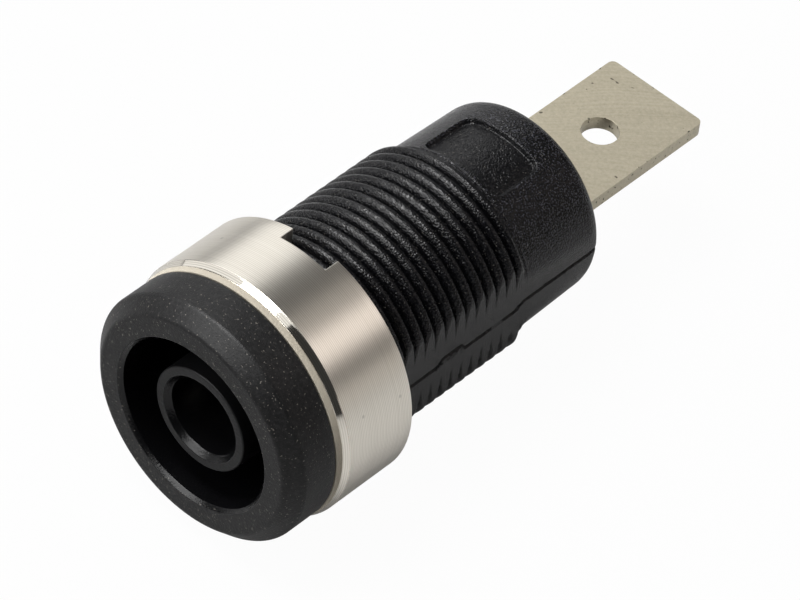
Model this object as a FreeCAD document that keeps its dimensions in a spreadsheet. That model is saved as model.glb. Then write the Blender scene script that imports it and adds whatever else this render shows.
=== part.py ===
import FreeCAD, Part
import Sketcher
import math
import os

# Safety banana socket for a 4 mm plug, made to go through a panel and be held by a ring nut.
# The axis lies along Y: the mating face looks along -Y and the flat tab points along +Y, facing +Z.
# The origin is on the axis, in the plane where the back of the head meets the panel. Millimetres.

doc = FreeCAD.newDocument("safety_banana_socket")
sheet = doc.addObject("Spreadsheet::Sheet", "dims")

# Driving dimensions, each with what it measures on the piece
DRIVING = [
    ("thread_radius", 5.97, "crests of the M12 thread on the neck"),
    ("thread_pitch", 0.75, "fine thread"),
    ("thread_depth", 0.49, "crest to root"),
    ("flank_angle", 30.0, "degrees, each flank of the thread"),
    ("relief_length", 1.85, "plain stretch behind the head, as deep as the thread"),
    ("relief_land", 0.4, "from that stretch to the middle of the first groove"),
    ("neck_length", 15.35, "panel seat to the end of the thread"),
    ("neck_wall", 0.68, "thread root to the opening's wall"),
    ("flat_cut", 0.64, "thread crest to each of the two flats"),
    ("head_overhang", 1.03, "head beyond the thread crests"),
    ("head_length", 2.95, "panel seat forward to the mating face"),
    ("head_chamfer", 0.8, "outer edge of the mating face, across and along"),
    ("head_softening", 0.35, "rounding of that chamfer's two edges"),
    ("mouth_bevel", 0.25, "broken edge of the opening"),
    ("gap_floor", 1.2, "plastic between the shroud gap and the contact's collar"),
    ("tube_wall", 0.405, "guard tube over the contact's sleeve"),
    ("tube_recess", 0.65, "rim of the guard tube behind the mating face"),
    ("tube_bevel", 0.1, "broken outer edge of that rim"),
    ("entry_gap", 0.17, "plastic entry wider than the bore, in radius"),
    ("entry_lead", 0.31, "lead-in at the rim, across and along"),
    ("entry_length", 3.8, "rim to the contact, out of a finger's reach"),
    ("barrel_step", 0.39, "thread crest down to the barrel"),
    ("barrel_length", 6.2, "end of the thread to the rear face"),
    ("barrel_draft", 1.55, "degrees"),
    ("barrel_rounding", 0.9, "rear edge of the body"),
    ("panel_land", 0.55, "end of the thread to the sunk panel"),
    ("panel_length", 3.4, "sunk panel along the axis"),
    ("panel_angle", 54.4, "degrees round the axis"),
    ("panel_depth", 0.3, "panel below the barrel's surface"),
    ("panel_corner", 0.45, "rounded corners of the panel"),
    ("rear_wall", 1.35, "plastic behind the contact"),
    ("moulded_gap", 0.02, "between the moulding and the metal inside it"),
    ("bore_radius", 2.0, "for the 4 mm plug pin"),
    ("bore_lead", 0.2, "lead-in of the bore"),
    ("bore_web", 0.5, "brass between the drill's point and the tab's slot"),
    ("drill_angle", 118.0, "degrees, point of the drill"),
    ("sleeve_wall", 0.55, "contact round its bore"),
    ("collar_step", 1.45, "contact's collar beyond its sleeve"),
    ("collar_length", 5.0, "collar at the rear of the contact"),
    ("tab_width", 6.3, "standard blade"),
    ("tab_thick", 0.8, "standard blade"),
    ("tab_seat", 2.25, "length of the tab inside the contact"),
    ("tab_reach", 10.4, "length of the tab outside the body"),
    ("tab_corner", 0.35, "rounding of the free corners"),
    ("tab_hole_radius", 1.02, "hole for the receptacle's catch or a wire"),
    ("tab_hole_inset", 4.55, "free end to the centre of the hole"),
    ("slot_gap", 0.02, "tab in its slot, each side"),
    ("slot_end_gap", 0.05, "slot floor to the tab's inner end"),
    ("nut_gap", 0.05, "back of the head to the ring nut"),
    ("nut_length", 5.16, "ring nut along the axis"),
    ("nut_proud", 0.25, "ring nut beyond the head, in radius"),
    ("nut_running_gap", 0.05, "nut bore over the thread crests"),
    ("nut_nose_proud", 0.02, "front edge of the nut beyond the head"),
    ("nut_land_rise", 0.06, "taper of the rough front land, in radius"),
    ("nut_land", 0.35, "length of the rough front land"),
    ("nut_bevel", 0.35, "length of the polished bevel behind the land"),
    ("nut_bore_bevel", 0.25, "both ends of the nut's bore"),
    ("nut_slot_width", 3.0, "two spanner slots in the rear face"),
    ("nut_slot_depth", 0.92, "depth of those slots along the axis"),
    ("cut_over", 0.5, "how far a cutting outline runs past what it cuts"),
]
for row, (alias, value, note) in enumerate(DRIVING, 1):
    sheet.set("A%d" % row, note)
    sheet.set("B%d" % row, str(value))
    sheet.setAlias("B%d" % row, alias)
doc.recompute()

SAME = 1e-4


def value_of(expression):
    """Number that an expression on the sheet gives."""
    found = sheet.evalExpression(expression)
    return float(getattr(found, "Value", found))


def new_body(label):
    body = doc.addObject("PartDesign::Body", label)
    body.Label = label
    return body


def sketch_on(body, role, name, place="0"):
    """Sketch on one of the body's origin planes, moved along that plane's normal."""
    sketch = body.newObject("Sketcher::SketchObject", name)
    plane = [item for item in body.Origin.OriginFeatures if item.Role == role][0]
    sketch.AttachmentSupport = (plane, [""])
    sketch.MapMode = "FlatFace"
    sketch.setExpression("AttachmentOffset.Base.z", place)
    doc.recompute()
    return sketch


def hold(sketch, kind, line, expression):
    """Ties one coordinate of a line's start to an expression on the sheet."""
    number = sketch.addConstraint(Sketcher.Constraint(kind, -1, 1, line, 1, value_of(expression)))
    sketch.setExpression("Constraints[%d]" % number, expression)


def outline(sketch, corners):
    """Closed outline with straight sides, each corner given as two expressions on the sheet."""
    spots = [FreeCAD.Vector(value_of(first), value_of(second), 0) for first, second in corners]
    count = len(spots)
    start = sketch.GeometryCount
    for index in range(count):
        sketch.addGeometry(Part.LineSegment(spots[index], spots[(index + 1) % count]), False)
    for index in range(count):
        following = start + (index + 1) % count
        sketch.addConstraint(Sketcher.Constraint("Coincident", start + index, 2, following, 1))
    for index, (first, second) in enumerate(corners):
        hold(sketch, "DistanceX", start + index, first)
        hold(sketch, "DistanceY", start + index, second)


def rectangle(sketch, left, low, right, high):
    outline(sketch, [(left, low), (right, low), (right, high), (left, high)])


def turned(body, name, kind, corners):
    """Revolution or Groove round the Y axis of an outline given as (place, radius)."""
    sketch = sketch_on(body, "YZ_Plane", name + "_section")
    outline(sketch, corners)
    feature = body.newObject("PartDesign::" + kind, name)
    feature.Profile = sketch
    feature.ReferenceAxis = (sketch, ["H_Axis"])
    feature.Angle = 360
    body.Tip = feature
    doc.recompute()
    return feature


def pocket(body, name, sketch, depth=None):
    """Straight cut: towards the mating face to a depth, or through everything to both sides."""
    feature = body.newObject("PartDesign::Pocket", name)
    feature.Profile = sketch
    if depth is None:
        feature.Type = "ThroughAll"
        feature.Midplane = True
    else:
        feature.Type = "Length"
        feature.setExpression("Length", depth)
        feature.Reversed = True
    body.Tip = feature
    doc.recompute()
    return feature


def fillet(body, name, base, edges, radius):
    if not edges:
        raise RuntimeError(name + ": no edge to round")
    feature = body.newObject("PartDesign::Fillet", name)
    feature.Base = (base, edges)
    feature.setExpression("Radius", radius)
    body.Tip = feature
    doc.recompute()
    return feature


def circles_at(feature, place, radius):
    """Names of the circular edges round the axis at one place and of one radius."""
    names = []
    for number, edge in enumerate(feature.Shape.Edges, 1):
        if not isinstance(edge.Curve, Part.Circle):
            continue
        near = abs(edge.Curve.Center.y - value_of(place)) < SAME
        if near and abs(edge.Curve.Radius - value_of(radius)) < SAME:
            names.append("Edge%d" % number)
    return names


def straight_edges(feature, wanted):
    """Names of the straight edges whose middle and direction satisfy a test."""
    names = []
    for number, edge in enumerate(feature.Shape.Edges, 1):
        if isinstance(edge.Curve, Part.Line):
            middle = (edge.firstVertex().Point + edge.lastVertex().Point) / 2
            if wanted(middle, edge.Curve.Direction):
                names.append("Edge%d" % number)
    return names


def must_shrink(feature, before):
    """A cut that points away from the solid takes nothing off and shows no error."""
    if feature.Shape.Volume > before.Shape.Volume - SAME:
        raise RuntimeError(feature.Label + " cut nothing")


# Radii and places that follow from the driving ones. Places are along the axis from the panel seat.
degree = " * 1 deg"
root_radius = "(dims.thread_radius - dims.thread_depth)"
head_radius = "(dims.thread_radius + dims.head_overhang)"
mouth_radius = "(%s - dims.neck_wall)" % root_radius
barrel_radius = "(dims.thread_radius - dims.barrel_step)"
flat_place = "(dims.thread_radius - dims.flat_cut)"
entry_radius = "(dims.bore_radius + dims.entry_gap)"
sleeve_radius = "(dims.bore_radius + dims.sleeve_wall)"
collar_radius = "(%s + dims.collar_step)" % sleeve_radius
tube_radius = "(%s + dims.tube_wall + dims.moulded_gap)" % sleeve_radius
nut_radius = "(%s + dims.nut_proud)" % head_radius
nut_nose = "(%s + dims.nut_nose_proud)" % head_radius
nut_bore = "(dims.thread_radius + dims.nut_running_gap)"

face = "(-dims.head_length)"
rim = "(dims.tube_recess - dims.head_length)"
contact_front = "(%s + dims.entry_length)" % rim
body_end = "(dims.neck_length + dims.barrel_length)"
contact_end = "(%s - dims.rear_wall)" % body_end
collar_front = "(%s - dims.collar_length)" % contact_end
gap_bottom = "(%s - dims.gap_floor)" % collar_front
tab_root = "(%s - dims.tab_seat)" % contact_end
tab_end = "(%s + dims.tab_reach)" % body_end
slot_floor = "(%s - dims.slot_end_gap)" % tab_root
drill_point = "(%s - dims.bore_web)" % slot_floor
bore_end = "(%s - dims.bore_radius / tan(dims.drill_angle%s / 2))" % (drill_point, degree)
panel_front = "(dims.neck_length + dims.panel_land)"
panel_back = "(%s + dims.panel_length)" % panel_front
first_groove = "(dims.relief_length + dims.relief_land)"
nut_front = "dims.nut_gap"
nut_rear = "(dims.nut_gap + dims.nut_length)"


def barrel_at(place):
    """Radius of the tapered barrel at a place along the axis."""
    return "%s - (%s - dims.neck_length) * tan(dims.barrel_draft%s)" % (barrel_radius, place, degree)


def make_insulating_body():
    """Black polyamide moulding: head, guard tube, threaded neck with two flats, and rear barrel."""
    body = new_body("insulating_body")
    outside = turned(body, "outside", "Revolution", [
        (face, "0"),
        (face, head_radius + " - dims.head_chamfer"),
        (face + " + dims.head_chamfer", head_radius),
        ("0", head_radius),
        ("0", root_radius),
        ("dims.relief_length", root_radius),
        ("dims.relief_length", "dims.thread_radius"),
        ("dims.neck_length", "dims.thread_radius"),
        ("dims.neck_length", barrel_radius),
        (body_end, barrel_at(body_end)),
        (body_end, "0"),
    ])
    edges = circles_at(outside, body_end, barrel_at(body_end))
    rear = fillet(body, "rear_rounding", outside, edges, "dims.barrel_rounding")
    edges = (circles_at(rear, face, head_radius + " - dims.head_chamfer")
             + circles_at(rear, face + " + dims.head_chamfer", head_radius))
    front = fillet(body, "head_edges", rear, edges, "dims.head_softening")

    # Ring-shaped gap for the plug's shroud. It leaves the guard tube standing in the middle.
    gap = turned(body, "shroud_gap", "Groove", [
        (face, "0"),
        (face, mouth_radius + " + dims.mouth_bevel"),
        (face + " + dims.mouth_bevel", mouth_radius),
        (gap_bottom, mouth_radius),
        (gap_bottom, tube_radius),
        (rim + " + dims.tube_bevel", tube_radius),
        (rim, tube_radius + " - dims.tube_bevel"),
        (rim, "0"),
    ])
    must_shrink(gap, front)

    # Entry for the pin and, behind it, the room that the brass contact fills
    sleeve_room = sleeve_radius + " + dims.moulded_gap"
    collar_room = collar_radius + " + dims.moulded_gap"
    inside = turned(body, "contact_room", "Groove", [
        (rim, "0"),
        (rim, entry_radius + " + dims.entry_lead"),
        (rim + " + dims.entry_lead", entry_radius),
        (contact_front + " - dims.moulded_gap", entry_radius),
        (contact_front + " - dims.moulded_gap", sleeve_room),
        (collar_front + " - dims.moulded_gap", sleeve_room),
        (collar_front + " - dims.moulded_gap", collar_room),
        (contact_end + " + dims.moulded_gap", collar_room),
        (contact_end + " + dims.moulded_gap", "0"),
    ])
    must_shrink(inside, gap)

    # One groove of the thread, repeated at its pitch up to the end of the neck
    half_top = "(dims.thread_depth + dims.cut_over) * tan(dims.flank_angle%s)" % degree
    top = "dims.thread_radius + dims.cut_over"
    groove = turned(body, "thread_groove", "Groove", [
        ("%s - %s" % (first_groove, half_top), top),
        (first_groove, root_radius),
        ("%s + %s" % (first_groove, half_top), top),
    ])
    must_shrink(groove, inside)
    turns = "floor((dims.neck_length - %s) / dims.thread_pitch)" % first_groove
    thread = body.newObject("PartDesign::LinearPattern", "thread")
    thread.Originals = [groove]
    thread.Direction = (groove.Profile[0], ["H_Axis"])
    thread.setExpression("Length", "dims.thread_pitch * " + turns)
    thread.setExpression("Occurrences", turns + " + 1")
    body.Tip = thread
    doc.recompute()
    must_shrink(thread, groove)

    # The two flats that stop the socket from turning in its panel hole
    sides = sketch_on(body, "XY_Plane", "flats_outline")
    far = "(%s + dims.cut_over)" % head_radius
    rectangle(sides, flat_place, "0", far, body_end + " + dims.cut_over")
    rectangle(sides, "-" + far, "0", "-" + flat_place, body_end + " + dims.cut_over")
    flats = pocket(body, "flats", sides)
    must_shrink(flats, thread)

    # Sunk panel on the side of the barrel that the tab's upper face looks to
    panel = sketch_on(body, "YZ_Plane", "panel_section")
    outline(panel, [
        (panel_front, barrel_at(panel_front) + " - dims.panel_depth"),
        (panel_back, barrel_at(panel_back) + " - dims.panel_depth"),
        (panel_back, "dims.thread_radius + dims.cut_over"),
        (panel_front, "dims.thread_radius + dims.cut_over"),
    ])
    recess = body.newObject("PartDesign::Groove", "panel_recess")
    recess.Profile = panel
    recess.ReferenceAxis = (panel, ["H_Axis"])
    recess.Midplane = True
    recess.setExpression("Angle", "dims.panel_angle")
    body.Tip = recess
    doc.recompute()
    must_shrink(recess, flats)
    ends = (value_of(panel_front), value_of(panel_back))
    turn = math.radians(value_of("dims.panel_angle") / 2)

    def is_panel_corner(middle, direction):
        at_end = min(abs(middle.y - end) for end in ends) < SAME
        at_side = abs(abs(math.atan2(middle.x, middle.z)) - turn) < SAME
        return at_end and at_side and abs(direction.y) < SAME

    corners = straight_edges(recess, is_panel_corner)
    rounded = fillet(body, "panel_corners", recess, corners, "dims.panel_corner")

    # Slot in the rear wall that the tab comes out of
    slot = sketch_on(body, "XZ_Plane", "tab_slot_outline", "-" + body_end)
    half_wide = "(dims.tab_width / 2 + dims.moulded_gap)"
    half_thick = "(dims.tab_thick / 2 + dims.moulded_gap)"
    rectangle(slot, "-" + half_wide, "-" + half_thick, half_wide, half_thick)
    tab_slot = pocket(body, "tab_slot", slot, "dims.rear_wall")
    must_shrink(tab_slot, rounded)
    return body


def make_contact_socket():
    """Turned and nickel-plated brass contact, bored for the plug and slotted for the tab."""
    body = new_body("contact_socket")
    solid = turned(body, "turned_contact", "Revolution", [
        (contact_front, "dims.bore_radius + dims.bore_lead"),
        (contact_front + " + dims.bore_lead", "dims.bore_radius"),
        (bore_end, "dims.bore_radius"),
        (drill_point, "0"),
        (contact_end, "0"),
        (contact_end, collar_radius),
        (collar_front, collar_radius),
        (collar_front, sleeve_radius),
        (contact_front, sleeve_radius),
    ])
    slot = sketch_on(body, "XZ_Plane", "slot_outline", "-" + contact_end)
    half_wide = "(%s + dims.cut_over)" % collar_radius
    half_thick = "(dims.tab_thick / 2 + dims.slot_gap)"
    rectangle(slot, "-" + half_wide, "-" + half_thick, half_wide, half_thick)
    cut = pocket(body, "tab_slot", slot, "dims.tab_seat + dims.slot_end_gap")
    must_shrink(cut, solid)
    return body


def make_flat_tab():
    """Blade stamped from nickel-plated brass strip, with its hole and rounded free corners."""
    body = new_body("flat_tab")
    blade_outline = sketch_on(body, "XY_Plane", "blade_outline")
    rectangle(blade_outline, "-dims.tab_width / 2", tab_root, "dims.tab_width / 2", tab_end)
    blade = body.newObject("PartDesign::Pad", "blade")
    blade.Profile = blade_outline
    blade.Midplane = True
    blade.setExpression("Length", "dims.tab_thick")
    body.Tip = blade
    doc.recompute()
    end = value_of(tab_end)

    def is_free_corner(middle, direction):
        return abs(middle.y - end) < SAME and abs(direction.z) > 1 - SAME

    corners = straight_edges(blade, is_free_corner)
    rounded = fillet(body, "free_corners", blade, corners, "dims.tab_corner")
    ring = sketch_on(body, "XY_Plane", "hole_outline")
    place = "%s - dims.tab_hole_inset" % tab_end
    spot = FreeCAD.Vector(0, value_of(place), 0)
    radius = value_of("dims.tab_hole_radius")
    ring.addGeometry(Part.Circle(spot, FreeCAD.Vector(0, 0, 1), radius), False)
    ring.addConstraint(Sketcher.Constraint("PointOnObject", 0, 3, -2))
    number = ring.addConstraint(Sketcher.Constraint("DistanceY", -1, 1, 0, 3, spot.y))
    ring.setExpression("Constraints[%d]" % number, place)
    number = ring.addConstraint(Sketcher.Constraint("Radius", 0, radius))
    ring.setExpression("Constraints[%d]" % number, "dims.tab_hole_radius")
    hole = pocket(body, "hole", ring)
    must_shrink(hole, rounded)
    return body


def make_ring_nut():
    """Turned and nickel-plated brass ring nut with a stepped front edge and two spanner slots."""
    body = new_body("ring_nut")
    land_end = nut_front + " + dims.nut_land"
    solid = turned(body, "turned_ring", "Revolution", [
        (nut_front, nut_bore + " + dims.nut_bore_bevel"),
        (nut_front, nut_nose),
        (land_end, nut_nose + " + dims.nut_land_rise"),
        (land_end + " + dims.nut_bevel", nut_radius),
        (nut_rear, nut_radius),
        (nut_rear, nut_bore + " + dims.nut_bore_bevel"),
        (nut_rear + " - dims.nut_bore_bevel", nut_bore),
        (nut_front + " + dims.nut_bore_bevel", nut_bore),
    ])
    slots = sketch_on(body, "XZ_Plane", "slots_outline", "-" + nut_rear)
    half = "dims.nut_slot_width / 2"
    tall = "(%s + dims.cut_over)" % nut_radius
    rectangle(slots, "-" + half, "-" + tall, half, tall)
    cut = pocket(body, "spanner_slots", slots, "dims.nut_slot_depth")
    must_shrink(cut, solid)
    return body


pieces = [make_insulating_body(), make_contact_socket(), make_flat_tab(), make_ring_nut()]
doc.recompute()

for item in doc.Objects:
    if "Invalid" in item.State or "Error" in item.State:
        raise RuntimeError("%s failed: %s" % (item.Label, item.State))
for piece in pieces:
    if piece.Shape.isNull() or not piece.Shape.isValid() or len(piece.Shape.Solids) != 1:
        raise RuntimeError(piece.Label + " is not one valid solid")

os.makedirs("parts", exist_ok=True)
for piece in pieces:
    piece.Shape.exportStep("parts/%s.step" % piece.Label)
    print("%s %.3f mm3" % (piece.Label, piece.Shape.Volume))
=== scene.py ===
import math

import bmesh
import bpy
from mathutils import Matrix, Vector, noise


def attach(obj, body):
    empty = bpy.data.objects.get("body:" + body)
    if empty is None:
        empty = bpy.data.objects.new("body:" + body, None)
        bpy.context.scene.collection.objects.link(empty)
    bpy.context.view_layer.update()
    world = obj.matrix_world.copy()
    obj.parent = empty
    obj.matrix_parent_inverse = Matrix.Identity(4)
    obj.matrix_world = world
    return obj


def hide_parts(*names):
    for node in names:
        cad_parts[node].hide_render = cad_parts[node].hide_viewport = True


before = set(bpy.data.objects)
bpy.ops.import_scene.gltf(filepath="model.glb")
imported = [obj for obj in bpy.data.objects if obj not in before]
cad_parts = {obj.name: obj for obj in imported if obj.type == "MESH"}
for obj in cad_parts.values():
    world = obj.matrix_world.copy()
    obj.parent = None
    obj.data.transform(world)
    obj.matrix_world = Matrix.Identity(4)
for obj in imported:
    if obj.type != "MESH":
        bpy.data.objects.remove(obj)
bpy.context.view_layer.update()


# Insulating body. One black polyamide moulding: a head with a chamfered face, the ring-shaped shroud
# gap round the guard tube, the threaded neck with its two flats, and the tapered rear barrel with a
# sunk panel. It is drawn as one turned skin, and the thread, flats and panel are pressed into it.
HEAD_RADIUS = 7.0
HEAD_FACE = -2.95
HEAD_CHAMFER = 0.8
HEAD_SOFTENING = 0.35
MOUTH_RADIUS = 4.8
MOUTH_CHAMFER = 0.22
LIP_SOFTENING = 0.06
GAP_BOTTOM = 14.0
TUBE_RADIUS = 2.975
TUBE_RIM = -2.30
ENTRY_RADIUS = 2.17
ENTRY_LEAD = 0.31
TOOL_MARK = 0.012
ENTRY_BURR = 0.03
ROOM_FRONT = 1.48
SLEEVE_ROOM = 2.57
COLLAR_ROOM = 4.02
COLLAR_FRONT = 15.18
ROOM_END = 20.22
CREST_RADIUS = 5.97
ROOT_RADIUS = 5.48
RELIEF_END = 1.85
PITCH = 0.75
GROOVE_AT_TOP = 7.19
NECK_END = 15.35
BARREL_RADIUS = 5.58
BARREL_SLOPE = math.tan(math.radians(1.55))
BARREL_ROUNDING = 0.9
BODY_END = 21.55
FLAT_PLACE = 5.33
FLAT_SOFTNESS = 0.10
LOWER_END = 0.45  # how much further back the lower mould half leaves its thread
LOWER_OFFSET = 0.035  # and how much further out
END_LINE = 0.04
PARTING_DROP = 0.33
PARTING_JOG = 0.36
PARTING_DEPTH = 0.18
PARTING_HALF_WIDTH = 0.13
PANEL_FRONT, PANEL_BACK = 15.9, 19.3
PANEL_HALF_ANGLE = math.radians(27.2)
PANEL_DEPTH = 0.3
PANEL_CORNER = 0.6


def linear(hex_colour):
    """Linear RGBA of an sRGB hex colour."""
    parts = [int(hex_colour[i:i + 2], 16) / 255 for i in (1, 3, 5)]
    return [c / 12.92 if c <= 0.04045 else ((c + 0.055) / 1.055) ** 2.4 for c in parts] + [1.0]


def add(tree, kind, settings, inputs):
    """Adds one node with its settings, and links or sets its inputs."""
    made = tree.nodes.new(kind)
    for name, value in settings.items():
        setattr(made, name, value)
    for name, value in inputs.items():
        if isinstance(value, bpy.types.NodeSocket):
            tree.links.new(value, made.inputs[name])
        else:
            made.inputs[name].default_value = value
    return made


def new_material(name):
    """Empty node material with its output and Object coordinates in millimetres."""
    material = bpy.data.materials.new(name)
    material.use_nodes = True
    tree = material.node_tree
    tree.nodes.clear()
    output = tree.nodes.new("ShaderNodeOutputMaterial")
    place = add(tree, "ShaderNodeTexCoord", {}, {}).outputs["Object"]
    place = add(tree, "ShaderNodeVectorMath", {"operation": "SCALE"}, {0: place, "Scale": 1000.0})
    return material, tree, output, place.outputs["Vector"]


def step(edge, width, value):
    """Smooth rise from 0 to 1 as value passes edge, over the given width."""
    t = min(max((value - edge) / width + 0.5, 0.0), 1.0)
    return t * t * (3 - 2 * t)


def arc(centre_radius, centre_y, radius, start, end, pieces):
    """Points (radius, y) of an arc; angles in degrees from straight out towards +Y."""
    turn = [math.radians(start + (end - start) * k / pieces) for k in range(pieces + 1)]
    return [(centre_radius + radius * math.cos(t), centre_y + radius * math.sin(t)) for t in turn]


def run(first, last, pieces):
    """Evenly spaced points of a straight stretch, without its two ends."""
    return [tuple(a + (b - a) * k / pieces for a, b in zip(first, last)) for k in range(1, pieces)]


def turned(points, steps, closed=False):
    """Skin turned round the Y axis from an outline of (radius, y) points."""
    bm = bmesh.new()
    line = [bmesh.ops.create_vert(bm, co=(0, y, radius))["vert"][0] for radius, y in points]
    for a, b in zip(line, line[1:] + line[:1] if closed else line[1:]):
        bm.edges.new((a, b))
    bmesh.ops.spin(bm, geom=bm.verts[:] + bm.edges[:], cent=(0, 0, 0), axis=(0, 1, 0),
                   dvec=(0, 0, 0), angle=2 * math.pi, space=Matrix(), steps=steps,
                   use_merge=True, use_normal_flip=False, use_duplicate=False)
    bmesh.ops.remove_doubles(bm, verts=bm.verts[:], dist=1e-5)
    return bm


def finished(bm, name, material, sharp_degrees):
    """Closes the work on a mesh in millimetres and returns it as a smooth-shaded object in metres."""
    bmesh.ops.remove_doubles(bm, verts=bm.verts[:], dist=1e-5)
    bmesh.ops.recalc_face_normals(bm, faces=bm.faces[:])
    bmesh.ops.scale(bm, vec=(0.001, 0.001, 0.001), verts=bm.verts[:])
    mesh = bpy.data.meshes.new(name)
    bm.to_mesh(mesh)
    bm.free()
    mesh.materials.append(material)
    mesh.set_sharp_from_angle(angle=math.radians(sharp_degrees))
    mesh.polygons.foreach_set("use_smooth", [max(map(abs, face.normal)) < 0.99999
                                             for face in mesh.polygons])
    piece = bpy.data.objects.new(name, mesh)
    bpy.context.scene.collection.objects.link(piece)
    return piece


soft_reach = HEAD_SOFTENING * math.tan(math.radians(22.5))
lip_start = MOUTH_RADIUS + MOUTH_CHAMFER + LIP_SOFTENING * math.tan(math.radians(22.5))
lip_end = HEAD_FACE + lip_start - MOUTH_RADIUS
chamfer_start = HEAD_RADIUS - HEAD_CHAMFER - soft_reach
chamfer_end = HEAD_FACE + HEAD_CHAMFER + soft_reach
rounding_centre = BODY_END - BARREL_ROUNDING
rear_radius = BARREL_RADIUS - BARREL_SLOPE * (BODY_END - NECK_END)
lead_start = (ENTRY_RADIUS + ENTRY_LEAD, TUBE_RIM)
lead_end = (ENTRY_RADIUS, TUBE_RIM + ENTRY_LEAD)
# Ten rows to each turn of the thread, from the relief to the neck's end
rows = [GROOVE_AT_TOP + PITCH / 10 * k for k in range(-70, 106)]
# Close rows on the front of the barrel, where the lower half of the thread ends
barrel_rows = [NECK_END + 0.01 + 0.055 * k for k in range(17)]
body_outline = (
    [(0, ROOM_END), (COLLAR_ROOM, ROOM_END), (COLLAR_ROOM, COLLAR_FRONT)]
    + [(SLEEVE_ROOM, COLLAR_FRONT), (SLEEVE_ROOM, ROOM_FRONT), (ENTRY_RADIUS, ROOM_FRONT)]
    + run((ENTRY_RADIUS, ROOM_FRONT), lead_end, 4)
    + arc(ENTRY_RADIUS + 0.08, lead_end[1] + 0.02, 0.08, 180, 225, 3)
    + [(r + TOOL_MARK * (-1) ** k, y) for k, (r, y) in enumerate(run(lead_end, lead_start, 10)[2:])]
    + arc(lead_start[0] + 0.02, TUBE_RIM + 0.05, 0.05, 225, 270, 3)
    + arc(TUBE_RADIUS - 0.1, TUBE_RIM + 0.1, 0.1, 270, 360, 5)
    + run((TUBE_RADIUS, TUBE_RIM + 0.1), (TUBE_RADIUS, GAP_BOTTOM), 5)
    + [(TUBE_RADIUS, GAP_BOTTOM), (MOUTH_RADIUS, GAP_BOTTOM)]
    + run((MOUTH_RADIUS, GAP_BOTTOM), (MOUTH_RADIUS, lip_end), 5)
    + arc(MOUTH_RADIUS + LIP_SOFTENING, lip_end, LIP_SOFTENING, 180, 225, 3)
    + arc(lip_start, HEAD_FACE + LIP_SOFTENING, LIP_SOFTENING, 225, 270, 3)
    + run((lip_start, HEAD_FACE), (chamfer_start, HEAD_FACE), 4)
    + arc(chamfer_start, HEAD_FACE + HEAD_SOFTENING, HEAD_SOFTENING, 270, 315, 6)
    + arc(HEAD_RADIUS - HEAD_SOFTENING, chamfer_end, HEAD_SOFTENING, 315, 360, 6)
    + run((HEAD_RADIUS, chamfer_end), (HEAD_RADIUS, -0.06), 4)
    + arc(HEAD_RADIUS - 0.06, -0.06, 0.06, 0, 90, 3)
    + [(6.4, 0), (ROOT_RADIUS, 0), (ROOT_RADIUS, 0.9), (ROOT_RADIUS, RELIEF_END)]
    + [(CREST_RADIUS, y) for y in rows]
    + [(CREST_RADIUS, NECK_END - 0.03)]
    + [(BARREL_RADIUS - BARREL_SLOPE * (y - NECK_END), y) for y in barrel_rows]
    + run((BARREL_RADIUS - BARREL_SLOPE * (barrel_rows[-1] - NECK_END), barrel_rows[-1]),
          (rear_radius + BARREL_SLOPE * BARREL_ROUNDING, rounding_centre), 22)
    + arc(rear_radius - BARREL_ROUNDING + 0.012, rounding_centre, BARREL_ROUNDING, 0, 90, 10)
    + [(3.4, BODY_END), (0, BODY_END)]
)

# Columns stand close together where the flats cut the thread and at the parting line
quarter = []
for first, last, count in ((0, 56, 22), (56, 79, 24), (79, 84, 2), (84, 90, 13)):
    quarter += [first + (last - first) * k / count for k in range(count)]
columns = quarter + [180 - a for a in [90] + quarter[:0:-1]]
columns += [a + 180 for a in columns]


def parting_height(y):
    """Height of the parting line: low along the neck, with a jog where flash was cut off."""
    jog = PARTING_JOG * step(9.4, 0.55, y) * (1 - step(11.1, 0.4, y))
    wander = 0.03 * noise.noise((y * 1.7, 3, 1))
    return (jog - PARTING_DROP) * (1 - step(NECK_END - 0.05, 0.9, y)) + wander


def from_panel(angle, y):
    """Distance outside the outline of the sunk panel, negative inside it."""
    along = abs(y - (PANEL_FRONT + PANEL_BACK) / 2) - (PANEL_BACK - PANEL_FRONT) / 2 + PANEL_CORNER
    across = (abs(angle) - PANEL_HALF_ANGLE) * BARREL_RADIUS + PANEL_CORNER
    return math.hypot(max(along, 0), max(across, 0)) + min(max(along, across), 0) - PANEL_CORNER


def outer_radius(angle, y):
    """Radius of the moulding behind its head before the flats are cut."""
    thread_end = NECK_END + LOWER_END * step(math.radians(90), 0.1, abs(angle))
    groove = GROOVE_AT_TOP + PITCH * angle / (2 * math.pi)
    from_crest = abs((y - groove) / PITCH % 1 - 0.5) * 2
    radius = CREST_RADIUS - (CREST_RADIUS - ROOT_RADIUS) * from_crest ** 2.6
    radius += LOWER_OFFSET * step(math.radians(90), 0.1, abs(angle))
    radius = ROOT_RADIUS + (radius - ROOT_RADIUS) * step(RELIEF_END + 0.05, 0.12, y)
    barrel = BARREL_RADIUS - BARREL_SLOPE * (y - NECK_END)
    # A raised line follows the thread's end
    barrel += END_LINE * step(thread_end + 0.31, 0.05, y) * (1 - step(thread_end + 0.39, 0.05, y))
    if y < thread_end + 0.1:
        return barrel + (radius - barrel) * (1 - step(thread_end, 0.16, y))
    return barrel - PANEL_DEPTH * (1 - step(-0.02, 0.13, from_panel(angle, y)))


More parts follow.
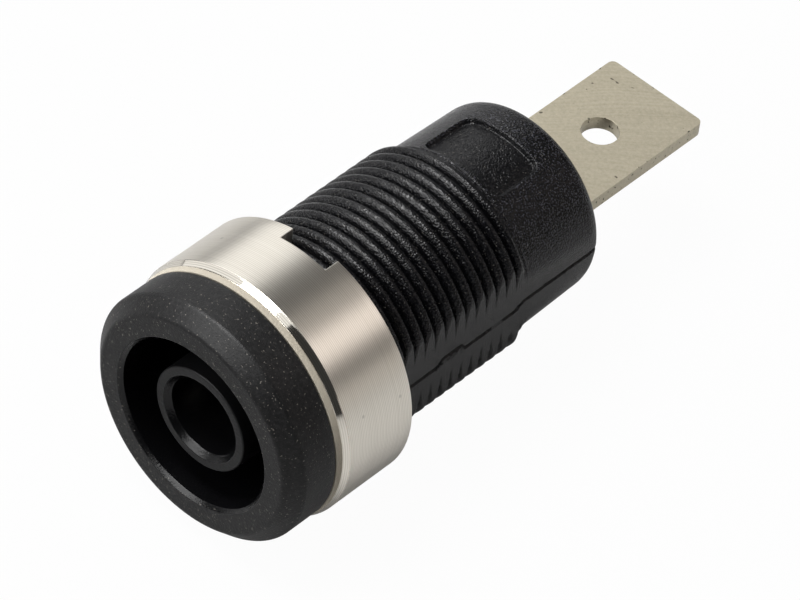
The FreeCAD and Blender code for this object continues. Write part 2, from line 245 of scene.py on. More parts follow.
def press_in(vert):
    """Moves a vertex of the skin behind the head to the thread, panel, flats and parting line."""
    x, y, z = vert.co
    radius, angle = math.hypot(x, z), math.atan2(x, z)
    if y < 0 or radius < FLAT_PLACE - 0.02 and y < rounding_centre:
        return
    if RELIEF_END < y < rounding_centre:
        radius = outer_radius(angle, y)
        x, z = radius * math.sin(angle), radius * math.cos(angle)
    side = math.copysign(1, x)
    blend = min(max(0.5 + 0.5 * (FLAT_PLACE - abs(x)) / FLAT_SOFTNESS, 0), 1)
    x = side * (FLAT_PLACE + (abs(x) - FLAT_PLACE) * blend - FLAT_SOFTNESS * blend * (1 - blend))
    if abs(x) > 3 and abs(z) < 1.3:
        # The line is nearly closed for a short way, and the flash left a rough strip below its jog
        from_line = z - parting_height(y)
        faded = 1 - 0.7 * step(13.2, 0.4, y) * (1 - step(14.1, 0.4, y))
        x -= side * PARTING_DEPTH * faded * max(0, 1 - abs(from_line) / PARTING_HALF_WIDTH) ** 0.8
        if 9.2 < y < 11.2 and -0.45 < from_line < -PARTING_HALF_WIDTH:
            x += side * (0.02 + 0.08 * noise.noise((x, y * 6, z * 9)))
    vert.co = (x, y, z)


# Rows lean with the thread, so that the mesh follows its crests, and straighten at its two ends
bm = turned(body_outline, len(columns))
for vert in bm.verts:
    x, y, z = vert.co
    radius = math.hypot(x, z)
    if radius < 1e-4:
        continue
    column = round(math.atan2(x, z) / (2 * math.pi) * len(columns)) % len(columns)
    angle = math.radians(columns[column])
    if rows[0] - 0.01 < y < rows[-1] + 0.01 and radius > FLAT_PLACE:
        lean = (math.degrees(angle) + 90) % 180 - 90
        lean *= min((90 - abs(lean)) / 10, 1)
        y += PITCH * lean / 360 * step(2.3, 0.6, y) * (1 - step(14.9, 0.6, y))
    if y < -1.9 and ENTRY_RADIUS - 0.02 < radius < lead_start[0] + 0.05:
        burr = noise.noise((x * 9, y * 3, z * 9))
        radius += TOOL_MARK * burr
        y -= ENTRY_BURR * max(burr, 0)
    if y < HEAD_FACE + 0.1 and radius < lip_start + 0.02:
        radius += TOOL_MARK * noise.noise((x * 7, y * 3, z * 7))
    vert.co = (radius * math.sin(angle), y, radius * math.cos(angle))
# The mesh is made finer where the panel's walls will stand
panel_rim = []
for face in bm.faces:
    x, y, z = face.calc_center_median()
    if z > 4.6 and abs(from_panel(math.atan2(x, z), y)) < 0.28:
        panel_rim.append(face)
bmesh.ops.subdivide_edges(bm, edges=list({e for f in panel_rim for e in f.edges}), cuts=7,
                          use_grid_fill=True)
for vert in bm.verts:
    press_in(vert)

# Black polyamide with glass fibre, injection moulded. The head comes from a polished part of the
# mould and is satin; the neck and barrel come from spark-eroded steel, whose grain glitters. That
# grain is about 0.03 mm in life, too fine to show, and is drawn at about 0.08 mm. Dust lies on both.
polyamide, tree, output, place = new_material("moulded_black_polyamide")
along = add(tree, "ShaderNodeSeparateXYZ", {}, {0: place}).outputs["Y"]
behind_head = add(tree, "ShaderNodeMapRange", {}, {"Value": along, "From Min": -0.1,
                                                   "From Max": 0.1})
flat_place = add(tree, "ShaderNodeVectorMath", {"operation": "MULTIPLY"}, {0: place, 1: (1, 0, 1)})
from_axis = add(tree, "ShaderNodeVectorMath", {"operation": "LENGTH"}, {0: flat_place.outputs[0]})
outside = add(tree, "ShaderNodeMath", {"operation": "GREATER_THAN"},
              {0: from_axis.outputs["Value"], 1: 4.9})
at_rear = add(tree, "ShaderNodeMath", {"operation": "GREATER_THAN"}, {0: along, 1: NECK_END})
open_side = add(tree, "ShaderNodeMath", {"operation": "MAXIMUM"},
                {0: outside.outputs[0], 1: at_rear.outputs[0]})
eroded = add(tree, "ShaderNodeMath", {"operation": "MULTIPLY"},
             {0: behind_head.outputs["Result"], 1: open_side.outputs[0]})
on_lip = add(tree, "ShaderNodeMath", {"operation": "COMPARE"},
             {0: from_axis.outputs["Value"], 1: 4.88, 2: 0.11})
in_entry = add(tree, "ShaderNodeMath", {"operation": "LESS_THAN"},
               {0: from_axis.outputs["Value"], 1: 2.50})
polished = add(tree, "ShaderNodeMath", {"operation": "MAXIMUM"},
               {0: on_lip.outputs[0], 1: in_entry.outputs[0]})
grain = add(tree, "ShaderNodeTexNoise", {}, {"Vector": place, "Scale": 12.0, "Detail": 0.0})
fine = add(tree, "ShaderNodeTexNoise", {}, {"Vector": place, "Scale": 14.0, "Detail": 2.0})
dust = add(tree, "ShaderNodeTexNoise", {}, {"Vector": place, "Scale": 9.0, "Detail": 1.0})
specks = add(tree, "ShaderNodeMapRange", {"interpolation_type": "SMOOTHSTEP"},
             {"Value": dust.outputs["Fac"], "From Min": 0.67, "From Max": 0.75})
settled = add(tree, "ShaderNodeMath", {"operation": "MULTIPLY_ADD"},
              {0: eroded.outputs[0], 1: -0.6, 2: 1.0})
settled = add(tree, "ShaderNodeMath", {"operation": "MULTIPLY"},
              {0: settled.outputs[0], 1: outside.outputs[0]})
specks = add(tree, "ShaderNodeMath", {"operation": "MULTIPLY"},
             {0: specks.outputs["Result"], 1: settled.outputs[0]})
powder = add(tree, "ShaderNodeTexNoise", {}, {"Vector": place, "Scale": 5.0, "Detail": 3.0,
                                              "Roughness": 0.7})
powdery = add(tree, "ShaderNodeMapRange", {}, {"Value": powder.outputs["Fac"], "From Min": 0.45,
                                               "From Max": 0.75})
powdery = add(tree, "ShaderNodeMath", {"operation": "MULTIPLY"},
              {0: powdery.outputs["Result"], 1: outside.outputs[0]})
satin = add(tree, "ShaderNodeMix", {"data_type": "RGBA"},
            {0: powdery.outputs[0], 6: linear("#060607"), 7: linear("#1b1b1b")})
mottle = add(tree, "ShaderNodeTexNoise", {}, {"Vector": place, "Scale": 12.0, "Detail": 0.0})
mottled = add(tree, "ShaderNodeMapRange", {}, {"Value": mottle.outputs["Fac"], "From Min": 0.58,
                                               "From Max": 0.70})
on_barrel = add(tree, "ShaderNodeMapRange", {}, {"Value": along, "From Min": 15.0, "From Max": 16.0,
                                                 "To Min": 0.2, "To Max": 1.0})
mottled = add(tree, "ShaderNodeMath", {"operation": "MULTIPLY"},
              {0: mottled.outputs["Result"], 1: on_barrel.outputs["Result"]})
sunk = add(tree, "ShaderNodeMath", {"operation": "LESS_THAN"},
           {0: from_axis.outputs["Value"], 1: 5.40})
beside_panel = add(tree, "ShaderNodeMath", {"operation": "COMPARE"},
                   {0: along, 1: (PANEL_FRONT + PANEL_BACK) / 2, 2: 1.9})
in_panel = add(tree, "ShaderNodeMath", {"operation": "MULTIPLY"},
               {0: sunk.outputs[0], 1: beside_panel.outputs[0]})
plain = add(tree, "ShaderNodeMath", {"operation": "MULTIPLY_ADD"},
            {0: in_panel.outputs[0], 1: -0.85, 2: 1.0})
mottled = add(tree, "ShaderNodeMath", {"operation": "MULTIPLY"},
              {0: mottled.outputs[0], 1: plain.outputs[0]})
sparked = add(tree, "ShaderNodeMix", {"data_type": "RGBA"},
              {0: mottled.outputs[0], 6: linear("#040405"), 7: linear("#28282d")})
ground = add(tree, "ShaderNodeMix", {"data_type": "RGBA"},
             {0: eroded.outputs[0], 6: satin.outputs[2], 7: sparked.outputs[2]})
colour = add(tree, "ShaderNodeMix", {"data_type": "RGBA"},
             {0: specks.outputs[0], 6: ground.outputs[2], 7: linear("#56534e")})
rough = add(tree, "ShaderNodeMix", {"data_type": "FLOAT"},
            {0: eroded.outputs[0], 2: 0.47, 3: 0.20})
rough = add(tree, "ShaderNodeMix", {"data_type": "FLOAT"},
            {0: polished.outputs[0], 2: rough.outputs[0], 3: 0.2})
depth = add(tree, "ShaderNodeMapRange", {}, {"Value": eroded.outputs[0], "To Min": 0.2,
                                             "To Max": 1.0})
coarser = add(tree, "ShaderNodeMapRange", {}, {"Value": along, "From Min": 15.2, "From Max": 16.0,
                                               "To Min": 1.0, "To Max": 1.1})
depth = add(tree, "ShaderNodeMath", {"operation": "MULTIPLY"},
            {0: depth.outputs["Result"], 1: coarser.outputs["Result"]})
height = add(tree, "ShaderNodeMath", {"operation": "MULTIPLY"},
             {0: grain.outputs["Fac"], 1: depth.outputs[0]})
erosion = add(tree, "ShaderNodeBump", {}, {"Strength": 1.0, "Distance": 0.000038,
                                           "Height": height.outputs[0]})
bump = add(tree, "ShaderNodeBump", {}, {"Strength": 1.0, "Distance": 0.00001,
                                        "Height": fine.outputs["Fac"],
                                        "Normal": erosion.outputs["Normal"]})
shader = add(tree, "ShaderNodeBsdfPrincipled", {},
             {"Base Color": colour.outputs[2], "Roughness": rough.outputs[0], "IOR": 1.53,
              "Specular IOR Level": 0.23, "Normal": bump.outputs["Normal"]})
tree.links.new(shader.outputs[0], output.inputs["Surface"])

moulding = finished(bm, "moulded_body", polyamide, 80)
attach(moulding, "socket")
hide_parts("insulating_body")


# Contact. Turned brass, nickel plated, with the 4 mm bore for the plug. It was pressed into the
# moulding, whose rim keeps it out of a finger's reach, and its rear is slotted for the tab.
BORE_RADIUS = 2.0
CONTACT_FRONT = 1.5
BORE_END = 16.2
CONTACT_END = 20.2
SLEEVE_RADIUS = 2.55
SLEEVE_CHAMFER = 0.06
COLLAR_RADIUS = 4.0
COLLAR_SEAT = 15.2

drill_point = BORE_END + BORE_RADIUS / math.tan(math.radians(59))
contact_outline = (
    [(0, drill_point), (BORE_RADIUS, BORE_END)]
    + run((BORE_RADIUS, BORE_END), (BORE_RADIUS, CONTACT_FRONT + 0.2), 6)
    + arc(BORE_RADIUS + 0.2, CONTACT_FRONT + 0.2, 0.2, 180, 270, 4)
    + [(SLEEVE_RADIUS - SLEEVE_CHAMFER, CONTACT_FRONT)]
    + [(SLEEVE_RADIUS, CONTACT_FRONT + SLEEVE_CHAMFER), (SLEEVE_RADIUS, COLLAR_SEAT)]
    + [(COLLAR_RADIUS, COLLAR_SEAT), (COLLAR_RADIUS, CONTACT_END), (0, CONTACT_END)]
)

# Nickel on turned brass: warm grey, still showing the bore's fine turning marks
plated_brass, tree, output, place = new_material("nickel_plated_turned_brass")
squeeze = add(tree, "ShaderNodeVectorMath", {"operation": "MULTIPLY"}, {0: place, 1: (0.2, 14, 0.2)})
marks = add(tree, "ShaderNodeTexNoise", {}, {"Vector": squeeze.outputs[0], "Scale": 1.0,
                                             "Detail": 2.0})
bump = add(tree, "ShaderNodeBump", {}, {"Strength": 0.6, "Distance": 0.000004,
                                        "Height": marks.outputs["Fac"]})
shader = add(tree, "ShaderNodeBsdfPrincipled", {},
             {"Base Color": linear("#c9c2b4"), "Metallic": 1.0, "Roughness": 0.24,
              "Normal": bump.outputs["Normal"]})
tree.links.new(shader.outputs[0], output.inputs["Surface"])

contact = finished(turned(contact_outline, 96), "bored_contact", plated_brass, 35)
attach(contact, "socket")
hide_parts("contact_socket")


# Blade tab. Brass strip 6.3 x 0.8 mm, stamped with its hole and nickel plated, seated in the slot
# of the contact. Its edges are sheared, so they are slightly ragged.
TAB_HALF_WIDTH = 3.15
TAB_HALF_THICK = 0.4
TAB_ROOT, TAB_END = 17.95, 31.95
TAB_CORNER = 0.35
TAB_HOLE_RADIUS = 1.02
TAB_HOLE_PLACE = 27.4
EDGE_BREAK = 0.05
EDGE_TEAR = 0.03
BLOTCH_BAND = 0.06

bm = bmesh.new()
ring = bmesh.ops.create_circle(bm, cap_ends=False, segments=96, radius=TAB_HOLE_RADIUS)["verts"]
bmesh.ops.translate(bm, vec=(0, TAB_HOLE_PLACE, 0), verts=ring)
corners = [bmesh.ops.create_vert(bm, co=co)["vert"][0] for co in (
    (-TAB_HALF_WIDTH, TAB_ROOT, 0), (TAB_HALF_WIDTH, TAB_ROOT, 0),
    (TAB_HALF_WIDTH, TAB_END, 0), (-TAB_HALF_WIDTH, TAB_END, 0))]
border = [bm.edges.new((a, b)) for a, b in zip(corners, corners[1:] + corners[:1])]
bmesh.ops.subdivide_edges(bm, edges=border, cuts=95)
bmesh.ops.triangle_fill(bm, use_beauty=True, use_dissolve=False, edges=bm.edges[:],
                        normal=(0, 0, 1))
for vert in bm.verts:
    x, y, z = vert.co
    reach = (abs(x) - TAB_HALF_WIDTH + TAB_CORNER, y - TAB_END + TAB_CORNER)
    if min(reach) > 0:
        scale = TAB_CORNER / max(math.hypot(*reach), 1e-9)
        if scale < 1:
            vert.co.x = math.copysign(TAB_HALF_WIDTH - TAB_CORNER + reach[0] * scale, x)
            vert.co.y = TAB_END - TAB_CORNER + reach[1] * scale
bmesh.ops.translate(bm, vec=(0, 0, -TAB_HALF_THICK), verts=bm.verts[:])
lifted = bmesh.ops.extrude_face_region(bm, geom=bm.faces[:])["geom"]
bmesh.ops.translate(bm, vec=(0, 0, 2 * TAB_HALF_THICK),
                    verts=[v for v in lifted if isinstance(v, bmesh.types.BMVert)])
bmesh.ops.recalc_face_normals(bm, faces=bm.faces[:])
rims = [e for e in bm.edges if len(e.link_faces) == 2 and e.calc_face_angle(0) > 1.2
        and abs(e.verts[0].co.z - e.verts[1].co.z) < 1e-4]
bmesh.ops.bevel(bm, geom=rims, offset=EDGE_BREAK, offset_type="OFFSET", segments=2, profile=0.5,
                affect="EDGES", clamp_overlap=True, material=-1)
for vert in bm.verts:
    x, y, z = vert.co
    if TAB_HALF_THICK - EDGE_BREAK - 0.01 < abs(z) < TAB_HALF_THICK - 0.001:
        ragged = noise.noise((x * 2.1, y * 2.1, z)) + 0.6 * noise.noise((x * 7, y * 7, z * 2))
        vert.co.z -= math.copysign(EDGE_TEAR * max(ragged - 0.25, 0), z)

# Nickel on rolled brass strip: warm grey, satin, with long handling scratches across the rolling
# direction, a few small pits, and dark blotches along the sheared edges and on the hole's wall
plated_strip, tree, output, place = new_material("nickel_plated_brass_strip")
warp = add(tree, "ShaderNodeTexNoise", {}, {"Vector": place, "Scale": 0.12, "Detail": 1.0})
bent = add(tree, "ShaderNodeVectorMath", {"operation": "MULTIPLY_ADD"},
           {0: warp.outputs["Color"], 1: (3, 3, 0), 2: place})
slanted = add(tree, "ShaderNodeMapping", {"vector_type": "TEXTURE"},
              {"Vector": bent.outputs[0], "Rotation": (0, 0, math.radians(38)),
               "Scale": (9, 0.11, 9)})
scratches = add(tree, "ShaderNodeTexNoise", {}, {"Vector": slanted.outputs[0], "Scale": 1.0,
                                                 "Detail": 3.0, "Roughness": 0.6})
pits = add(tree, "ShaderNodeTexNoise", {}, {"Vector": place, "Scale": 3.2, "Detail": 0.0})
pitted = add(tree, "ShaderNodeMapRange", {"interpolation_type": "SMOOTHSTEP"},
             {"Value": pits.outputs["Fac"], "From Min": 0.80, "From Max": 0.86})
tone = add(tree, "ShaderNodeMapRange", {}, {"Value": scratches.outputs["Fac"], "From Min": 0.3,
                                            "From Max": 0.7})
colour = add(tree, "ShaderNodeMix", {"data_type": "RGBA"},
             {0: tone.outputs["Result"], 6: linear("#b6ae99"), 7: linear("#c1b9a5")})
colour = add(tree, "ShaderNodeMix", {"data_type": "RGBA"},
             {0: pitted.outputs["Result"], 6: colour.outputs[2], 7: linear("#6d675c")})
speckle = add(tree, "ShaderNodeTexNoise", {}, {"Vector": place, "Scale": 6.0, "Detail": 3.0,
                                               "Roughness": 0.7})
colour = add(tree, "ShaderNodeMix", {"data_type": "RGBA", "blend_type": "OVERLAY"},
             {0: 0.25, 6: colour.outputs[2], 7: speckle.outputs["Fac"]})
apart = add(tree, "ShaderNodeSeparateXYZ", {}, {0: place})
from_hole = add(tree, "ShaderNodeVectorMath", {"operation": "MULTIPLY_ADD"},
                {0: place, 1: (1, 1, 0), 2: (0, -TAB_HOLE_PLACE, 0)})
from_hole = add(tree, "ShaderNodeVectorMath", {"operation": "LENGTH"}, {0: from_hole.outputs[0]})
in_hole = add(tree, "ShaderNodeMath", {"operation": "LESS_THAN"},
              {0: from_hole.outputs["Value"], 1: TAB_HOLE_RADIUS + BLOTCH_BAND / 2})
from_middle = add(tree, "ShaderNodeMath", {"operation": "ABSOLUTE"}, {0: apart.outputs["X"]})
at_side = add(tree, "ShaderNodeMath", {"operation": "GREATER_THAN"},
              {0: from_middle.outputs[0], 1: TAB_HALF_WIDTH - BLOTCH_BAND})
at_end = add(tree, "ShaderNodeMath", {"operation": "GREATER_THAN"},
             {0: apart.outputs["Y"], 1: TAB_END - BLOTCH_BAND})
sheared = add(tree, "ShaderNodeMath", {"operation": "MAXIMUM"},
              {0: at_side.outputs[0], 1: at_end.outputs[0]})
sheared = add(tree, "ShaderNodeMath", {"operation": "MAXIMUM"},
              {0: sheared.outputs[0], 1: in_hole.outputs[0]})
# Dark blotches in a narrow band along the sheared edges and on the hole's wall
blotch_noise = add(tree, "ShaderNodeTexNoise", {}, {"Vector": place, "Scale": 3.5, "Detail": 2.0})
dark_blotches = add(tree, "ShaderNodeMapRange", {"interpolation_type": "SMOOTHSTEP"},
           {"Value": blotch_noise.outputs["Fac"], "From Min": 0.63, "From Max": 0.70})
dark_blotches = add(tree, "ShaderNodeMath", {"operation": "MULTIPLY"},
           {0: dark_blotches.outputs["Result"], 1: sheared.outputs[0]})
colour = add(tree, "ShaderNodeMix", {"data_type": "RGBA"},
             {0: dark_blotches.outputs[0], 6: colour.outputs[2], 7: linear("#4a4438")})
rough = add(tree, "ShaderNodeMapRange", {}, {"Value": scratches.outputs["Fac"], "From Min": 0.3,
                                             "From Max": 0.7, "To Min": 0.30, "To Max": 0.42})
bump = add(tree, "ShaderNodeBump", {}, {"Strength": 0.5, "Distance": 0.000006,
                                        "Height": scratches.outputs["Fac"]})
shader = add(tree, "ShaderNodeBsdfPrincipled", {},
             {"Base Color": colour.outputs[2], "Metallic": 1.0,
              "Roughness": rough.outputs["Result"], "Normal": bump.outputs["Normal"]})
tree.links.new(shader.outputs[0], output.inputs["Surface"])

tab = finished(bm, "stamped_tab", plated_strip, 40)
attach(tab, "socket")
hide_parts("flat_tab")


# Ring nut. Turned brass, nickel plated, screwed up against the back of the head with a spanner that
# fits the two slots in its rear face. Its nose has a rough land and a polished bevel.
NUT_FRONT, NUT_REAR = 0.05, 5.21
NUT_RADIUS = 7.25
NUT_BORE = 6.02
NOSE_RADIUS = 7.02
LAND_RADIUS = 7.08
LAND_END = 0.40
BORE_BEVEL = 0.25
SLOT_HALF_WIDTH = 1.5
SLOT_FLOOR = 4.29
SLOT_EDGE_BREAK = 0.03
SLOT_COLUMN = 9
NUT_COLUMNS = 256

nut_outline = (
    run((NUT_BORE, NUT_REAR - BORE_BEVEL), (NUT_BORE, SLOT_FLOOR), 3)
    + [(NUT_BORE, SLOT_FLOOR), (NUT_BORE, 2.6), (NUT_BORE, NUT_FRONT + BORE_BEVEL)]
    + [(NUT_BORE + BORE_BEVEL, NUT_FRONT), (6.6, NUT_FRONT)]
    + arc(NOSE_RADIUS - 0.05, NUT_FRONT + 0.05, 0.05, 270, 360, 3)
    + [(7.05, 0.22), (LAND_RADIUS - 0.003, LAND_END - 0.03), (LAND_RADIUS, LAND_END - 0.01)]
    + [(LAND_RADIUS - 0.025, LAND_END + 0.01), (LAND_RADIUS + 0.005, LAND_END + 0.03)]
    + [(LAND_RADIUS + 0.015, LAND_END + 0.05), (7.217, 0.70), (7.227, 0.72)]
    + [(7.238, 0.745), (7.246, 0.77), (NUT_RADIUS, 0.80), (NUT_RADIUS, 0.83)]
    + run((NUT_RADIUS, 0.83), (NUT_RADIUS, SLOT_FLOOR), 5)
    + [(NUT_RADIUS, SLOT_FLOOR), (NUT_RADIUS, 4.75)]
    + arc(NUT_RADIUS - 0.04, NUT_REAR - 0.04, 0.04, 0, 90, 3)
    + [(6.75, NUT_REAR), (NUT_BORE + BORE_BEVEL, NUT_REAR), (NUT_BORE, NUT_REAR - BORE_BEVEL)]
)
bm = turned(nut_outline, NUT_COLUMNS, closed=True)

# Columns near each slot are moved so that its two walls stand parallel, 3 mm apart
for vert in bm.verts:
    x, y, z = vert.co
    radius = math.hypot(x, z)
    from_slot = (math.degrees(math.atan2(x, z)) + 90) % 180 - 90
    edge = 360 / NUT_COLUMNS * SLOT_COLUMN
    wanted = math.degrees(math.asin(SLOT_HALF_WIDTH / radius))
    if abs(from_slot) <= edge:
        moved = from_slot * wanted / edge
    elif abs(from_slot) < 3 * edge:
        moved = math.copysign(wanted + (abs(from_slot) - edge) * (3 * edge - wanted) / (2 * edge),
                              from_slot)
    else:
        moved = from_slot
    turn = math.atan2(x, z) + math.radians(moved - from_slot)
    vert.co = (radius * math.sin(turn), y, radius * math.cos(turn))

# Each slot is cut out of the rear face, its floor bridged and its two walls filled
for side in (1, -1):
    cut = [f for f in bm.faces if f.calc_center_median().y > SLOT_FLOOR + 1e-3
           and side * f.calc_center_median().z > 0
           and abs(f.calc_center_median().x) < SLOT_HALF_WIDTH - 0.01]
    bmesh.ops.delete(bm, geom=cut, context="FACES")
    open_edges = [e for e in bm.edges if e.is_boundary]
    outer = [e for e in open_edges
             if all(math.hypot(v.co.x, v.co.z) > NUT_RADIUS - 0.045 for v in e.verts)]
    inner = [e for e in open_edges
             if all(math.hypot(v.co.x, v.co.z) < NUT_BORE + 0.01 for v in e.verts)]
    bmesh.ops.bridge_loops(bm, edges=outer + inner)
    bmesh.ops.holes_fill(bm, edges=[e for e in bm.edges if e.is_boundary], sides=0)
bmesh.ops.recalc_face_normals(bm, faces=bm.faces[:])
slot_edges = [e for e in bm.edges if len(e.link_faces) == 2 and e.calc_face_angle(0) > 1.0
              and all(v.co.y > SLOT_FLOOR - 1e-3 and abs(v.co.x) < SLOT_HALF_WIDTH + 1e-3
                      for v in e.verts)]
bmesh.ops.bevel(bm, geom=slot_edges, offset=SLOT_EDGE_BREAK, offset_type="OFFSET", segments=2,
                profile=0.5, affect="EDGES", clamp_overlap=True, material=-1)

# Nickel on brass straight from the lathe: warm, bright, with tool lines 0.1 mm apart round the ring
# that draw the light out along the axis. The land is rough, the bevel burnished, and three small
# pits mark where the plating missed.
plated_ring, tree, output, place = new_material("nickel_plated_lathe_turned_brass")
along = add(tree, "ShaderNodeSeparateXYZ", {}, {0: place}).outputs["Y"]
squeeze = add(tree, "ShaderNodeVectorMath", {"operation": "MULTIPLY"}, {0: place, 1: (0.05, 12, 0.05)})
feed = add(tree, "ShaderNodeTexWave", {"bands_direction": "Y"},
           {"Vector": place, "Scale": 2.9, "Distortion": 0.5, "Detail": 2.0, "Detail Scale": 0.4})
drift = add(tree, "ShaderNodeTexNoise", {}, {"Vector": squeeze.outputs[0], "Scale": 1.0,
                                             "Detail": 2.0, "Roughness": 0.6})
lines = add(tree, "ShaderNodeMix", {"data_type": "FLOAT"},
            {0: 0.5, 2: feed.outputs["Fac"], 3: drift.outputs["Fac"]})
grit = add(tree, "ShaderNodeTexNoise", {}, {"Vector": place, "Scale": 9.0, "Detail": 3.0})
burnish = add(tree, "ShaderNodeMapRange", {}, {"Value": along, "From Min": 0.72, "From Max": 0.78})
land = add(tree, "ShaderNodeMapRange", {}, {"Value": along, "From Min": 0.38, "From Max": 0.42,
                                            "To Min": 1.0, "To Max": 0.0})
tone = add(tree, "ShaderNodeMapRange", {}, {"Value": lines.outputs[0], "From Min": 0.2,
                                            "From Max": 0.8})
colour = add(tree, "ShaderNodeMix", {"data_type": "RGBA"},
             {0: tone.outputs["Result"], 6: linear("#d3cdc1"), 7: linear("#efeae0")})
colour = add(tree, "ShaderNodeMix", {"data_type": "RGBA"},
             {0: land.outputs["Result"], 6: colour.outputs[2], 7: linear("#b6b0a4")})
for pit in ((6.80, 1.92, 2.52), (6.90, 4.48, 2.22), (-4.13, 2.98, 5.96)):
    from_pit = add(tree, "ShaderNodeVectorMath", {"operation": "DISTANCE"}, {0: place, 1: pit})
    pitted = add(tree, "ShaderNodeMapRange", {"interpolation_type": "SMOOTHSTEP"},
                 {"Value": from_pit.outputs["Value"], "From Min": 0.04, "From Max": 0.13,
                  "To Min": 0.3, "To Max": 0.0})
    colour = add(tree, "ShaderNodeMix", {"data_type": "RGBA"},
                 {0: pitted.outputs["Result"], 6: colour.outputs[2], 7: linear("#6f6a5f")})
rough_turned = add(tree, "ShaderNodeMath", {"operation": "MULTIPLY_ADD"},
                   {0: burnish.outputs["Result"], 1: 0.22, 2: 0.06})
rough = add(tree, "ShaderNodeMath", {"operation": "MULTIPLY_ADD"},
            {0: land.outputs["Result"], 1: 0.79, 2: rough_turned.outputs[0]})
line_height = add(tree, "ShaderNodeMath", {"operation": "MULTIPLY"},
                  {0: lines.outputs[0], 1: burnish.outputs["Result"]})
grit_height = add(tree, "ShaderNodeMath", {"operation": "MULTIPLY"},
                  {0: grit.outputs["Fac"], 1: land.outputs["Result"]})
bump = add(tree, "ShaderNodeBump", {}, {"Strength": 0.6, "Distance": 0.000005,
                                        "Height": line_height.outputs[0]})
bump = add(tree, "ShaderNodeBump", {}, {"Strength": 0.8, "Distance": 0.00004,
                                        "Height": grit_height.outputs[0],
                                        "Normal": bump.outputs["Normal"]})
round_ring = add(tree, "ShaderNodeTangent", {"direction_type": "RADIAL", "axis": "Y"}, {})
shader = add(tree, "ShaderNodeBsdfPrincipled", {},
             {"Base Color": colour.outputs[2], "Metallic": 1.0, "Roughness": rough.outputs[0],
              "Anisotropic": 0.5, "Normal": bump.outputs["Normal"],
              "Tangent": round_ring.outputs[0]})
tree.links.new(shader.outputs[0], output.inputs["Surface"])

nut = finished(bm, "slotted_ring", plated_ring, 18)
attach(nut, "ring_nut")
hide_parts("ring_nut")


# Studio: a paper floor that the ring nut rests on, long soft lamps that lie in line with the socket
# so that the turned metal shows them as bands, two strong lamps for the streaks on the black thread,
# and a camera at the photograph's angle.
FLOOR_SIZE = 3.0
FLOOR_GAP = 0.00002
WHITE_TO_CAMERA = 0.97
WHITE_IN_METAL = 0.12
CAMERA_DISTANCE = 0.2957
CAMERA_ROLL = 7.11
SOCKET_MIDDLE = Vector((0, 0.011, 0))

bm = bmesh.new()
bmesh.ops.create_grid(bm, x_segments=1, y_segments=1, size=FLOOR_SIZE)
bmesh.ops.translate(bm, vec=(0, 0, -NUT_RADIUS / 1000 - FLOOR_GAP), verts=bm.verts[:])
floor_mesh = bpy.data.meshes.new("paper_floor")
bm.to_mesh(floor_mesh)
bm.free()
floor = bpy.data.objects.new("paper_floor", floor_mesh)
bpy.context.scene.collection.objects.link(floor)

# Matt paper. The camera sees it almost as its own plain white, which the picture's ground needs, with
# a faint shadow. The light that it throws back at the object is a mid grey, darker than real white
# paper, and the metal mirrors that grey with a small share of the white.
paper, tree, output, place = new_material("white_paper")
rays = add(tree, "ShaderNodeLightPath", {}, {})
mirrored = add(tree, "ShaderNodeMath", {"operation": "MAXIMUM"},
               {0: rays.outputs["Is Glossy Ray"], 1: rays.outputs["Is Transmission Ray"]})
mirrored = add(tree, "ShaderNodeMath", {"operation": "MULTIPLY"},
               {0: mirrored.outputs[0], 1: WHITE_IN_METAL})
share = add(tree, "ShaderNodeMath", {"operation": "MULTIPLY_ADD"},
            {0: rays.outputs["Is Camera Ray"], 1: WHITE_TO_CAMERA, 2: mirrored.outputs[0]})
matt = add(tree, "ShaderNodeBsdfDiffuse", {}, {"Color": linear("#989898")})
white = add(tree, "ShaderNodeEmission", {}, {"Color": linear("#ffffff"), "Strength": 1.0})
shown = add(tree, "ShaderNodeMixShader", {}, {0: share.outputs[0], 1: matt.outputs[0],
                                              2: white.outputs[0]})
tree.links.new(shown.outputs[0], output.inputs["Surface"])
floor_mesh.materials.append(paper)

world = bpy.data.worlds.new("studio_room")
world.use_nodes = True
world.node_tree.nodes["Background"].inputs["Color"].default_value = linear("#ffffff")
world.node_tree.nodes["Background"].inputs["Strength"].default_value = 0.04
bpy.context.scene.world = world


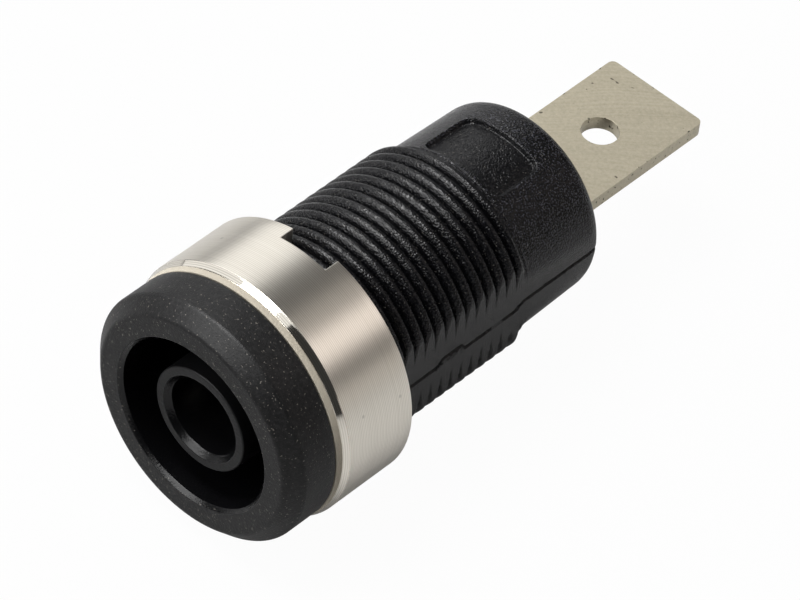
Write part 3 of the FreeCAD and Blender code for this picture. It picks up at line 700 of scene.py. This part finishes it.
def softbox(name, round_axis, towards_tab, distance, width, length, radiance, colour):
    """Rectangular lamp facing the socket: angle round the axis from the top towards +X, angle
    towards the tab, then its distance, its width across, its length along the axis and its
    radiance, of which 1 is white in a mirror."""
    turn, lean = math.radians(round_axis), math.radians(towards_tab)
    back = Vector((math.sin(turn) * math.cos(lean), math.sin(lean), math.cos(turn) * math.cos(lean)))
    across = Vector((math.cos(turn), 0, -math.sin(turn)))
    lamp = bpy.data.lights.new(name, "AREA")
    lamp.shape = "RECTANGLE"
    lamp.size, lamp.size_y = width, length
    lamp.energy = radiance * math.pi * width * length
    lamp.color = linear(colour)[:3]
    holder = bpy.data.objects.new(name, lamp)
    holder.matrix_world = Matrix.Translation(SOCKET_MIDDLE + back * distance) @ Matrix(
        (across, back.cross(across), back)).transposed().to_4x4()
    bpy.context.scene.collection.objects.link(holder)


# The key lamp lights the ring's left, the side lamps its right, and the overhead and front lamps make
# the bright streaks on the thread, the ring's bevel and the opening's lip. The overhead lamp and the
# front softbox are stronger than plain light, because black polyamide mirrors so little of them.
softbox("key_softbox", -54, 33, 0.36, 0.28, 0.30, 1.15, "#ffffff")
softbox("side_softbox", 42, 34, 0.36, 0.135, 0.26, 1.3, "#fff6f2")
softbox("top_softbox", 16, 34, 0.40, 0.09, 0.26, 0.35, "#fff8f2")
softbox("low_softbox", 83, 18, 0.36, 0.09, 0.44, 0.55, "#fff8f2")
softbox("overhead_softbox", -38, -9, 0.36, 0.96, 0.28, 0.95, "#ffffff")
softbox("overhead_lamp", -17, -10, 0.34, 0.19, 0.13, 21.0, "#ffffff")
softbox("front_softbox", -26, -48, 0.40, 0.34, 0.24, 6.0, "#ffffff")

bpy.context.scene.view_settings.view_transform = "Standard"

camera_data = bpy.data.cameras.new("photo_camera")
camera_data.sensor_width = 36
camera_data.lens = 265.5
camera_data.clip_start, camera_data.clip_end = 0.01, 10
camera = bpy.data.objects.new("photo_camera", camera_data)
aim = Vector((0.001078, 0.011022, 0.000009))
azimuth, elevation = math.radians(37.80), math.radians(45.35)
back = Vector((math.sin(azimuth) * math.cos(elevation), -math.cos(azimuth) * math.cos(elevation),
               math.sin(elevation)))
camera.matrix_world = (Matrix.Translation(aim + back * CAMERA_DISTANCE)
                       @ back.to_track_quat("Z", "Y").to_matrix().to_4x4()
                       @ Matrix.Rotation(math.radians(CAMERA_ROLL), 4, "Z"))
bpy.context.scene.collection.objects.link(camera)
bpy.context.scene.camera = camera
